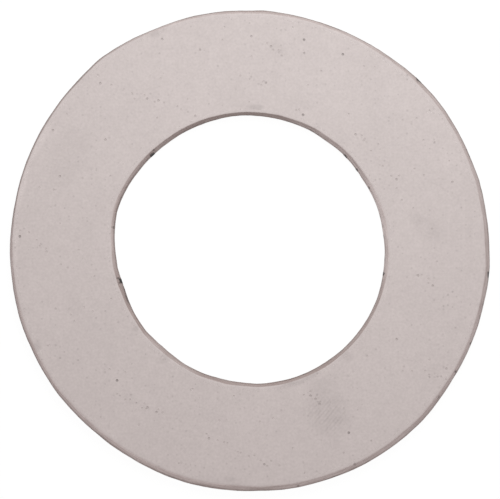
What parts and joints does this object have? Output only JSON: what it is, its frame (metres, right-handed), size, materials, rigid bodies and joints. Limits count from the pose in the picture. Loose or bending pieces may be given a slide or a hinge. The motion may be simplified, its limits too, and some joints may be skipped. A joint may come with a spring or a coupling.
{
  "type": "flat ring gasket",
  "caption": "Flat ring gasket cut from pale warm-grey sheet rubber, with a wide round bore and leaning cut walls; it seals when clamped between two flat flange faces.",
  "frame": {"origin": "centre of the bore on the lower face, which the gasket lies on", "axes": "+Z along the bore axis, from the lower face up to the face that the blade entered; X and Y lie in the lower face"},
  "size_m": [0.0856, 0.0856, 0.0032],
  "materials": {
    "pale_rubber": "matte"
  },
  "bodies": {
    "root": {"gasket_ring": "pale_rubber"}
  },
  "joints": []
}
